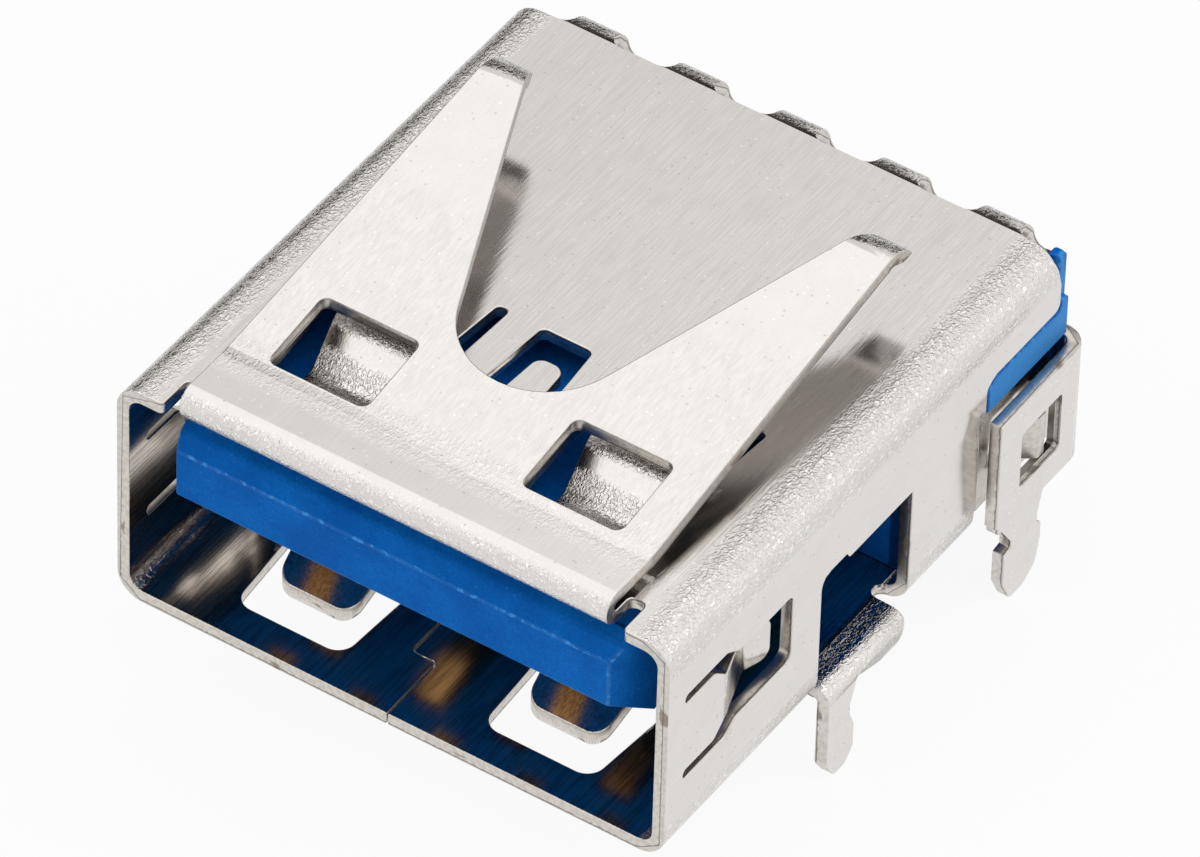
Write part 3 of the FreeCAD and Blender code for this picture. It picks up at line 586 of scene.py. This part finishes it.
def blue_moulding():
    """Satin blue plastic with a fine grain and pale flecks, made paler on the side bars by painted light, and
    darkened in the leg holes by painted shade.
    """
    material, tree, shader, position = new_material("blue_moulding")
    grain = place(tree, GRAIN, {"Position": position, "Scale": Blue.grain_scale})
    pores = place(tree, GRAIN, {"Position": position, "Scale": Blue.pore_scale})["Height"]
    dots = place(tree, SPECKS, {"Position": position, "Scale": Blue.fleck_scale, "Share": Blue.fleck_share})
    right = right_half(tree, position)
    # Painted light: the side bars beyond these limits across are made paler
    outer = ramp(tree, separated(tree, right)[0], Blue.painted_side_light_limits)
    colour = blend_colour(tree, grain["Tone"], Blue.deep, Blue.clear)
    colour = tint(tree, colour, Blue.pore, ramp(tree, pores, Blue.pore_limits, (0.0, Blue.pore_strength)))
    colour = tint(tree, colour, Blue.fleck, dots["Light"], Blue.fleck_strength)
    colour = tint(tree, colour, Blue.painted_side_light, outer)
    # Painted shade darkening the blue inside the leg holes
    colour = tint(tree, colour, Blue.painted_hole_shade, box_mask(tree, right, *HOLE_SHADE_BOX), Blue.painted_hole_shade_strength)
    tree.links.new(colour, shader.inputs["Base Color"])
    shader.inputs["Roughness"].default_value = Blue.roughness
    shader.inputs["Specular IOR Level"].default_value = Blue.specular
    bump(tree, shader, grain["Height"], Blue.depth, Blue.strength)
    return material


def blue_edge():
    """The same plastic on its edges, with lighter patches in places as a painted highlight."""
    material, tree, shader, position = new_material("blue_edge")
    # Painted highlight: lighter patches along the edges
    painted_edge_highlight = noise(tree, position, BlueEdge.painted_edge_highlight_scale, BlueEdge.painted_edge_highlight_detail)
    grain = place(tree, GRAIN, {"Position": position, "Scale": Blue.grain_scale})
    colour = blend_colour(tree, grain["Tone"], BlueEdge.deep, BlueEdge.clear)
    colour = tint(tree, colour, BlueEdge.painted_edge_highlight, ramp(tree, painted_edge_highlight, BlueEdge.painted_edge_highlight_limits))
    tree.links.new(colour, shader.inputs["Base Color"])
    shader.inputs["Roughness"].default_value = BlueEdge.roughness
    shader.inputs["Specular IOR Level"].default_value = BlueEdge.specular
    bump(tree, shader, grain["Height"], BlueEdge.depth, BlueEdge.strength)
    return material


def plated_contact():
    """Copper alloy contact, drawn along its length."""
    material, tree, shader, position = new_material("plated_contact")
    lines = place(tree, BRUSHING, {"Position": position, "Across": Copper.lines_across,
                                   "Along": Copper.lines_along})
    grain = place(tree, GRAIN, {"Position": position, "Scale": Copper.grain_scale})
    colour = blend_colour(tree, grain["Tone"], Copper.deep, Copper.clear)
    colour = tint(tree, colour, Copper.scratch, lines["Scratch"], Copper.scratch_strength)
    tree.links.new(colour, shader.inputs["Base Color"])
    shader.inputs["Metallic"].default_value = 1.0
    shader.inputs["Roughness"].default_value = Copper.roughness
    bump(tree, shader, lines["Height"], Copper.depth, Copper.strength)
    return material


# Pieces

def linked_object(name, mesh):
    made = bpy.data.objects.new(name, mesh)
    bpy.context.scene.collection.objects.link(made)
    return made


def merged_copy(node):
    """A copy of a CAD node as a bmesh, with the corners of its triangles joined."""
    work = bmesh.new()
    work.from_mesh(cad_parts[node].data)
    bmesh.ops.remove_doubles(work, verts=work.verts, dist=SAME_CORNER)
    work.normal_update()
    return work


def cut(work, faces, point, normal, clear):
    """Cuts the faces with a plane; clears what lies beyond it and closes the cut if asked."""
    chosen = set(faces)
    edges = [edge for edge in work.edges if any(face in chosen for face in edge.link_faces)]
    corners = [corner for corner in work.verts if any(face in chosen for face in corner.link_faces)]
    bmesh.ops.bisect_plane(work, geom=faces + edges + corners, dist=ON_THE_CUT, plane_co=point,
                           plane_no=normal, clear_outer=clear)
    if clear:
        border = [edge for edge in work.edges if len(edge.link_faces) == 1]
        bmesh.ops.holes_fill(work, edges=border, sides=0)


def shorten_arm_tips(work):
    arms = [face for face in work.faces if any(corner.co.z > ARM_UNDERSIDE and corner.co.y > ARM_TIP_FRONT
                                               for corner in face.verts)]
    cut(work, arms, (0, ARM_TIP_FRONT, 0), (0, 1, 0), clear=False)
    limit = ARM_TIP_FRONT - HAIR
    tips = [face for face in work.faces if all(corner.co.z > ARM_UNDERSIDE and corner.co.y > limit
                                               for corner in face.verts)]
    cut(work, tips, (0, 0, ARM_TIP_LEVEL), (0, 0, -1), clear=True)


def lower_left_ear(work):
    ear = [face for face in work.faces if any(corner.co.x < -EAR_INNER and corner.co.y > EAR_FRONT
                                              and corner.co.z > EAR_LEVEL for corner in face.verts)]
    cut(work, ear, (0, 0, EAR_LEVEL), (0, 0, 1), clear=True)


def mark_punched_faces(work):
    """A face with the other side of the sheet close behind it is plated, and any other face is punched."""
    tree = BVHTree.FromBMesh(work)
    for face in work.faces:
        start = face.calc_center_median() - face.normal * HAIR
        hit = tree.ray_cast(start, -face.normal, SHEET_LIMIT)
        face.material_index = PLATED_SLOT if hit[0] is not None else PUNCHED_SLOT


def sheet_sides(work):
    """Sets of plated faces that smooth bends join, the largest first."""
    waiting = {face for face in work.faces if face.material_index == PLATED_SLOT}
    sides = []
    while waiting:
        side = {waiting.pop()}
        front = list(side)
        while front:
            for edge in front.pop().edges:
                if len(edge.link_faces) != 2 or edge.calc_face_angle(math.pi) > SMOOTH_BEND:
                    continue
                joined = [other for other in edge.link_faces if other in waiting]
                waiting.difference_update(joined)
                side.update(joined)
                front += joined
        sides.append(side)
    return sorted(sides, key=lambda side: -sum(face.calc_area() for face in side))


def mark_outer_side(work):
    """Writes 1 as "through" on the corners of the sheet's outer side; it stays 0 on the inner side."""
    through = work.verts.layers.float.new("through")
    for face in sheet_sides(work)[0]:
        for corner in face.verts:
            corner[through] = 1.0


def flatten(work, **kept):
    """Makes each flat part of the surface one face."""
    bmesh.ops.dissolve_limit(work, angle_limit=FLAT_ANGLE, verts=work.verts, edges=work.edges, **kept)


def bevelled_object(mesh, rounding, edge_slot=NEIGHBOUR_SLOT):
    """A linked object whose weighted edges a modifier rounds."""
    piece = linked_object(mesh.name, mesh)
    bevel = piece.modifiers.new("edges", "BEVEL")
    bevel.width = rounding
    bevel.segments = ROUNDING_SEGMENTS
    bevel.limit_method = "WEIGHT"
    bevel.use_clamp_overlap = False
    bevel.material = edge_slot
    return piece


def evaluated_mesh(piece):
    graph = bpy.context.evaluated_depsgraph_get()
    return bpy.data.meshes.new_from_object(piece.evaluated_get(graph), preserve_all_data_layers=True,
                                           depsgraph=graph)


def turned_over_spots(mesh):
    """Corners of the triangles that a rounding without room has turned over."""
    mesh.calc_loop_triangles()
    spots = []
    for triangle in mesh.loop_triangles:
        upright = triangle.normal.dot(mesh.polygons[triangle.polygon_index].normal)
        if triangle.area < SLIVER_AREA or upright > UPRIGHT:
            continue
        corners = [mesh.vertices[index].co.copy() for index in triangle.vertices]
        sides = [((corners[index] - corners[index - 1]).length, index) for index in range(3)]
        shortest = min(sides)[1]
        spots += [corners[shortest], corners[shortest - 1]]
    return spots


def choose_roundings(work, rounding, sharpest):
    """Weights for the sharp edges, without those where the rounding would have no room."""
    layer = work.edges.layers.float.new("bevel_weight_edge")
    sharp = [edge for edge in work.edges if len(edge.link_faces) == 2 and edge.calc_face_angle() > sharpest]
    for edge in sharp:
        edge[layer] = 1.0
    for attempt in range(ROUNDING_ATTEMPTS):
        trial = bpy.data.meshes.new("trial")
        work.to_mesh(trial)
        piece = bevelled_object(trial, rounding)
        rounded = evaluated_mesh(piece)
        spots = turned_over_spots(rounded)
        bpy.data.objects.remove(piece)
        bpy.data.meshes.remove(trial)
        bpy.data.meshes.remove(rounded)
        if not spots:
            return
        tree = KDTree(len(spots))
        for index, spot in enumerate(spots):
            tree.insert(spot, index)
        tree.balance()
        for edge in sharp:
            if min(tree.find(corner.co)[2] for corner in edge.verts) < CROWDED_REACH:
                edge[layer] = 0.0


def finish_piece(work, name, node, materials, rounding, sharpest, edge_slot=NEIGHBOUR_SLOT):
    """Turns the bmesh into a piece with rounded edges that stands for the CAD node."""
    choose_roundings(work, rounding, sharpest)
    mesh = bpy.data.meshes.new(name)
    work.to_mesh(mesh)
    work.free()
    for material in materials:
        mesh.materials.append(material)
    for face in mesh.polygons:
        face.use_smooth = True
    piece = bevelled_object(mesh, rounding, edge_slot)
    shading = piece.modifiers.new("shading", "WEIGHTED_NORMAL")
    shading.mode = "FACE_AREA"
    shading.weight = NORMAL_WEIGHT
    final = evaluated_mesh(piece)
    piece.modifiers.clear()
    piece.data = final
    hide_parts(node)
    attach(piece, "root")


def dress_shell():
    work = merged_copy("shell")
    shorten_arm_tips(work)
    mark_punched_faces(work)
    mark_outer_side(work)
    bmesh.ops.remove_doubles(work, verts=work.verts, dist=JOINED)
    flatten(work, delimit={"MATERIAL"})
    finish_piece(work, "metal_shell", "shell", [plated_sheet(), punched_edge()], EDGE_ROUNDING, SHARP_STEEL)


def dress_housing(blue):
    work = merged_copy("housing")
    lower_left_ear(work)
    flatten(work)
    finish_piece(work, "blue_housing", "housing", [blue, blue_edge()], PLASTIC_ROUNDING, SHARP_PLASTIC,
                 BLUE_EDGE_SLOT)


def dress_nodes(blue):
    """Materials for the CAD nodes that show as they are."""
    contact = plated_contact()
    for name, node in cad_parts.items():
        if name.endswith("_contact"):
            node.material_slots[0].material = contact
        if name == "tail_spacer":
            node.material_slots[0].material = blue


# Studio

def make_camera():
    back = Vector((math.sin(VIEW_AZIMUTH) * math.cos(VIEW_ELEVATION),
                   -math.cos(VIEW_AZIMUTH) * math.cos(VIEW_ELEVATION), math.sin(VIEW_ELEVATION)))
    level = Vector((math.cos(VIEW_AZIMUTH), math.sin(VIEW_AZIMUTH), 0))
    rise = back.cross(level)
    right = math.cos(VIEW_ROLL) * level + math.sin(VIEW_ROLL) * rise
    up = -math.sin(VIEW_ROLL) * level + math.cos(VIEW_ROLL) * rise
    pixel = CAMERA_DISTANCE / LENS_PIXELS
    across = (MIDDLE_PIXEL[0] - PICTURE_WIDTH / 2) * pixel
    above = -(MIDDLE_PIXEL[1] - PICTURE_HEIGHT / 2) * pixel
    data = bpy.data.cameras.new("camera")
    data.sensor_width = SENSOR_WIDTH
    data.lens = LENS_PIXELS / PICTURE_WIDTH * SENSOR_WIDTH
    data.clip_start = CLIP_START
    data.clip_end = CLIP_END
    camera = linked_object("camera", data)
    turn = Matrix((right, up, back)).transposed().to_4x4()
    place_of_camera = MIDDLE + back * CAMERA_DISTANCE - right * across - up * above
    camera.matrix_world = Matrix.Translation(place_of_camera) @ turn
    bpy.context.scene.camera = camera


def seen(tree):
    """1 for rays that show the background itself: from the camera, or by way of metal and glass."""
    path = add(tree, "LightPath").outputs
    direct = calc(tree, "MAXIMUM", path["Is Camera Ray"], path["Is Glossy Ray"])
    return calc(tree, "MAXIMUM", direct, path["Is Transmission Ray"])


def mixed(tree, share, first, second):
    return add(tree, "MixShader", {0: share, 1: first, 2: second}).outputs[0]


def studio_card(name, corners, faces, material_name):
    """An object of the studio and the tree of its material, which has no shader yet."""
    mesh = bpy.data.meshes.new(name)
    mesh.from_pydata(corners, [], faces)
    material = bpy.data.materials.new(material_name)
    material.use_nodes = True
    material.node_tree.nodes.remove(material.node_tree.nodes["Principled BSDF"])
    mesh.materials.append(material)
    return linked_object(name, mesh), material.node_tree


def make_floor():
    """Pale floor that shows white, keeps the socket's shadow and can be looked through from below."""
    corners = [(x * FLOOR_HALF, y * FLOOR_HALF, FLOOR_LEVEL) for x, y in ((-1, -1), (1, -1), (1, 1), (-1, 1))]
    floor, tree = studio_card("floor", corners, [(0, 1, 2, 3)], "pale_floor")
    matt = add(tree, "BsdfDiffuse", {"Color": (FLOOR_GREY, FLOOR_GREY, FLOOR_GREY, 1)}).outputs[0]
    white = add(tree, "Emission", {"Color": (1, 1, 1, 1), "Strength": 1.0}).outputs[0]
    shown = mixed(tree, FLOOR_SHADOW_SHARE, white, matt)
    from_above = mixed(tree, seen(tree), matt, shown)
    clear = add(tree, "BsdfTransparent").outputs[0]
    below = add(tree, "NewGeometry").outputs["Backfacing"]
    tree.links.new(mixed(tree, below, from_above, clear), tree.nodes["Material Output"].inputs["Surface"])


def make_world():
    """Soft light from all round, and a white background for the rays that show it."""
    world = bpy.data.worlds.new("studio")
    bpy.context.scene.world = world
    world.use_nodes = True
    tree = world.node_tree
    background = tree.nodes["Background"]
    background.inputs["Color"].default_value = ROOM_TINT
    tree.links.new(ramp(tree, seen(tree), (0.0, 1.0), (ROOM_LIGHT, ROOM_SEEN)), background.inputs["Strength"])


def make_flag():
    """Dark card bent round the back of the socket: metal shows it, the camera looks through it."""
    corners = []
    for index in range(CARD_STEPS + 1):
        turn = CARD_END + (CARD_START - CARD_END) * index / CARD_STEPS
        for level in (FLOOR_LEVEL + CARD_LIFT, FLOOR_LEVEL + CARD_HEIGHT):
            corners.append((MIDDLE.x - CARD_RADIUS * math.sin(turn), MIDDLE.y + CARD_RADIUS * math.cos(turn),
                            level))
    faces = [(2 * index, 2 * index + 2, 2 * index + 3, 2 * index + 1) for index in range(CARD_STEPS)]
    flag, tree = studio_card("flag", corners, faces, "dark_card")
    dark = add(tree, "BsdfDiffuse", {"Color": CARD_COLOUR}).outputs[0]
    clear = add(tree, "BsdfTransparent").outputs[0]
    direct = add(tree, "LightPath").outputs["Is Camera Ray"]
    tree.links.new(mixed(tree, direct, dark, clear), tree.nodes["Material Output"].inputs["Surface"])


def softbox(name, towards, distance, size, radiance, sheen):
    """Square area light that looks at the socket; metal shows it only as bright as its sheen."""
    direction = Vector(towards).normalized()
    for kind, level, nearer in (("light", radiance, 1.0), ("sheen", sheen, SHEEN_NEARER)):
        data = bpy.data.lights.new(name + "_" + kind, "AREA")
        data.size = size
        data.energy = level * math.pi * size * size
        lamp = linked_object(name + "_" + kind, data)
        lamp.location = MIDDLE + direction * distance * nearer
        lamp.rotation_mode = "QUATERNION"
        lamp.rotation_quaternion = (-direction).to_track_quat("-Z", "Y")
        lamp.visible_glossy = kind == "sheen"
        lamp.visible_diffuse = kind == "light"


bpy.context.scene.view_settings.view_transform = "Standard"
make_camera()
make_floor()
make_world()
make_flag()
for lamp in LAMPS:
    softbox(*lamp)

blue_plastic = blue_moulding()
dress_shell()
dress_housing(blue_plastic)
dress_nodes(blue_plastic)

bpy.context.view_layer.update()
